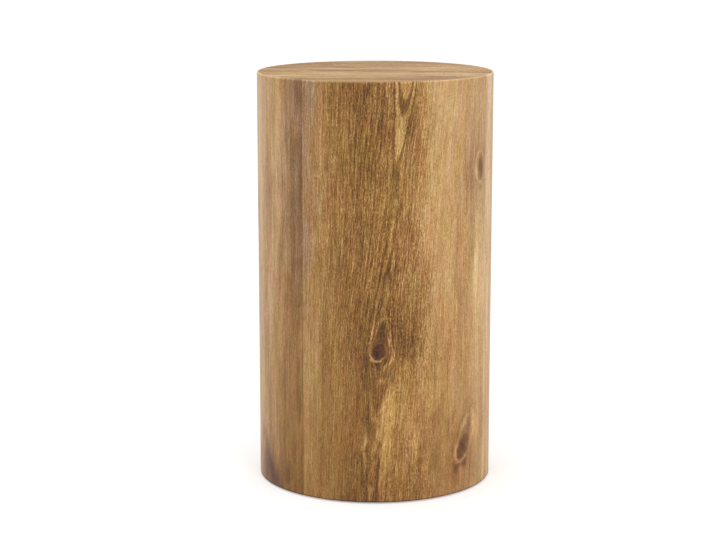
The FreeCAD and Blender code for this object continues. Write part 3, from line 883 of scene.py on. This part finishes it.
# Solid woods with the grain along one axis: rings on the distance from a heart beside the piece
def solidWood(name, look):
    material, tree, shader = newMaterial(name)
    where = objectPlace(tree)
    broad = noise(tree, where, look["broad"])
    fibre = noise(tree, where, look["fibre"], roughness=0.6, layer=1)
    pore = step(tree, noise(tree, where, look["pore"], detail=1.0, layer=2), *look["poreCut"])
    flat = addNode(tree, "ShaderNodeVectorMath", {0: where, 1: look["acrossGrain"]}, operation="MULTIPLY")
    offset = addNode(tree, "ShaderNodeVectorMath", {0: flat, 1: look["heart"]}, operation="SUBTRACT")
    reach = addNode(tree, "ShaderNodeVectorMath", {0: offset}, output="Value", operation="LENGTH")
    turn = calc(tree, "DIVIDE", reach, look["ringPitch"])
    turn = calc(tree, "MULTIPLY_ADD", broad, look["ringWarp"], turn)
    ring = levels(tree, calc(tree, "FRACT", turn), 1.0, look["ringProfile"])
    tone = weighted(tree, look["tone"], [
        (ring, look["ringTone"]),
        (broad, look["broadTone"]),
        (fibre, look["fibreTone"]),
        (pore, look["poreTone"]),
    ])
    rough = weighted(tree, look["roughness"], [(fibre, look["fibreRough"])])
    height = weighted(tree, fibre, [(ring, look["ringHeight"]), (pore, look["poreHeight"])])
    surface(tree, shader, look, tone, rough, height)
    return material


zincLook = {
    "colours": ((0.0, (128, 130, 130)), (0.5, (186, 188, 186)), (1.0, (214, 214, 206))),
    "bloom": (5 * mm, 5 * mm, 5 * mm), "bloomTone": 1.2, "bloomRough": 0.3,
    "scratch": (0.35 * mm, 4 * mm, 0.35 * mm), "scratchTone": 0.5, "scratchRough": 0.3,
    "tone": 0.5, "roughness": 0.34, "bumpStrength": 0.2, "bumpDistance": 0.04 * mm,
}


# Bright zinc plating: a faint crystalline bloom with fine scratches
def zincSteel(look):
    material, tree, shader = newMaterial("zincPlate")
    where = objectPlace(tree)
    bloom = noise(tree, where, look["bloom"], detail=4.0, roughness=0.6)
    scratch = noise(tree, where, look["scratch"], roughness=0.6, layer=1)
    tone = weighted(tree, look["tone"], [(bloom, look["bloomTone"]), (scratch, look["scratchTone"])])
    rough = weighted(tree, look["roughness"], [
        (bloom, look["bloomRough"]), (scratch, look["scratchRough"]),
    ])
    shader.inputs["Metallic"].default_value = 1.0
    surface(tree, shader, look, tone, rough, scratch)
    return material


nylonLook = {
    "colours": ((0.0, (26, 24, 22)), (0.6, (52, 48, 44)), (1.0, (112, 106, 98))),
    "cloud": (9 * mm, 9 * mm, 9 * mm), "cloudTone": 0.5,
    "grit": (0.4 * mm, 0.4 * mm, 0.4 * mm), "gritTone": 0.4, "gritRough": 0.3,
    "scuff": (0.5 * mm, 5 * mm, 1.0), "scuffCut": (0.0, 0.2), "scuffBand": (0.7 * mm, 0.1 * mm),
    "scuffTone": 0.5, "scuffRough": 0.2, "scuffHeight": -0.4,
    "tone": 0.35, "roughness": 0.48, "bumpStrength": 0.3, "bumpDistance": 0.06 * mm,
}


# Dark moulded nylon with a fine spark texture, scuffed pale where it meets the floor
def nylon(look):
    material, tree, shader = newMaterial("darkNylon")
    where = objectPlace(tree)
    cloud = noise(tree, where, look["cloud"])
    grit = noise(tree, where, look["grit"], roughness=0.6, layer=1)
    scuff = step(tree, noise(tree, where, look["scuff"], roughness=0.6, layer=2), *look["scuffCut"])
    nearFloor = step(tree, parts(tree, where)[2], *look["scuffBand"])
    scuff = calc(tree, "MULTIPLY", scuff, nearFloor)
    tone = weighted(tree, look["tone"], [
        (cloud, look["cloudTone"]), (grit, look["gritTone"]), (scuff, look["scuffTone"]),
    ])
    rough = weighted(tree, look["roughness"], [(grit, look["gritRough"]), (scuff, look["scuffRough"])])
    height = weighted(tree, grit, [(scuff, look["scuffHeight"])])
    surface(tree, shader, look, tone, rough, height)
    return material


# Every node that stays in view takes the finish that the record names for it
def dressNodes():
    finishes = {
        "fibreboard": fibreboard(fibreboardLook),
        "plywood": solidWood("splinePlywood", plywoodLook),
        "softwood": solidWood("battenSoftwood", softwoodLook),
        "beech": solidWood("dowelBeech", beechLook),
        "zinc_steel": zincSteel(zincLook),
        "nylon": nylon(nylonLook),
    }
    dressed = 0
    for part in frame["record"]["subparts"]:
        for slot in frame["nodes"][part["node"]].material_slots:
            if part["material_slot"] in finishes:
                slot.material = finishes[part["material_slot"]]
                dressed += 1
    print("nodes dressed:", dressed)


dressNodes()

# Camera at the photograph's angle: metres, degrees and millimetres of lens
view = {"distance": 2.45, "height": 0.748, "tilt": 11.1, "turn": 0.51, "lens": 97.0, "sensor": 36.0}


def makeCamera():
    data = bpy.data.cameras.new("camera")
    data.lens = view["lens"]
    data.sensor_width = view["sensor"]
    camera = bpy.data.objects.new("camera", data)
    camera.location = (0.0, -view["distance"], view["height"])
    camera.rotation_euler = (math.radians(90.0 - view["tilt"]), 0.0, math.radians(view["turn"]))
    bpy.context.collection.objects.link(camera)
    bpy.context.scene.camera = camera


# Soft studio light: an even white surround, one large lamp in front and one above
studio = {
    "white": (1.0, 1.0, 1.0, 1.0),
    "surround": 0.80,
    "floorHalf": 40.0,
    "floorColour": (0.86, 0.86, 0.86, 1.0),
    "floorRoughness": 0.9,
    "floorGlow": 0.34,
    "aim": (0.0, 0.0, 0.28),
    "lamps": (
        {"name": "frontLamp", "at": (0.9, -2.6, 1.6), "size": 1.8, "power": 18.5},
        {"name": "topLamp", "at": (-0.3, -0.2, 2.6), "size": 1.6, "power": 9.0},
    ),
}


# 1 where the camera, a reflection or a view through glass sees the surface,
# 0 where it only lights other things
def seenDirectly(tree):
    path = tree.nodes.new("ShaderNodeLightPath").outputs
    seen = calc(tree, "MAXIMUM", path["Is Camera Ray"], path["Is Glossy Ray"])
    return calc(tree, "MAXIMUM", seen, path["Is Transmission Ray"])


def makeWorld():
    world = bpy.data.worlds.new("studio")
    world.use_nodes = True
    tree = world.node_tree
    inputs = {"Value": seenDirectly(tree), "To Min": studio["surround"], "To Max": 1.0}
    background = tree.nodes["Background"]
    background.inputs["Color"].default_value = studio["white"]
    tree.links.new(addNode(tree, "ShaderNodeMapRange", inputs), background.inputs["Strength"])
    bpy.context.scene.world = world


def makeFloor():
    half = studio["floorHalf"]
    mesh = bpy.data.meshes.new("floor")
    corners = [(-half, -half, 0.0), (half, -half, 0.0), (half, half, 0.0), (-half, half, 0.0)]
    mesh.from_pydata(corners, [], [(0, 1, 2, 3)])
    floor = bpy.data.objects.new("floor", mesh)
    bpy.context.collection.objects.link(floor)
    material, tree, shader = newMaterial("floorWhite")
    shader.inputs["Base Color"].default_value = studio["floorColour"]
    shader.inputs["Roughness"].default_value = studio["floorRoughness"]
    shader.inputs["Specular IOR Level"].default_value = 0.0
    shader.inputs["Emission Color"].default_value = studio["white"]
    glow = calc(tree, "MULTIPLY", seenDirectly(tree), studio["floorGlow"])
    tree.links.new(glow, shader.inputs["Emission Strength"])
    mesh.materials.append(material)


# A lamp looks down its own -Z, so it is tipped by the angle from straight down, then turned to the aim
def makeLamps():
    for lamp in studio["lamps"]:
        data = bpy.data.lights.new(lamp["name"], "AREA")
        data.size = lamp["size"]
        data.energy = lamp["power"]
        made = bpy.data.objects.new(lamp["name"], data)
        made.location = lamp["at"]
        x, y, z = np.array(studio["aim"]) - np.array(lamp["at"])
        made.rotation_euler = (math.atan2(math.hypot(x, y), -z), 0.0, math.atan2(-x, y))
        bpy.context.collection.objects.link(made)


makeCamera()
makeWorld()
makeFloor()
makeLamps()
bpy.context.scene.view_settings.view_transform = "Standard"
print("camera and studio made")
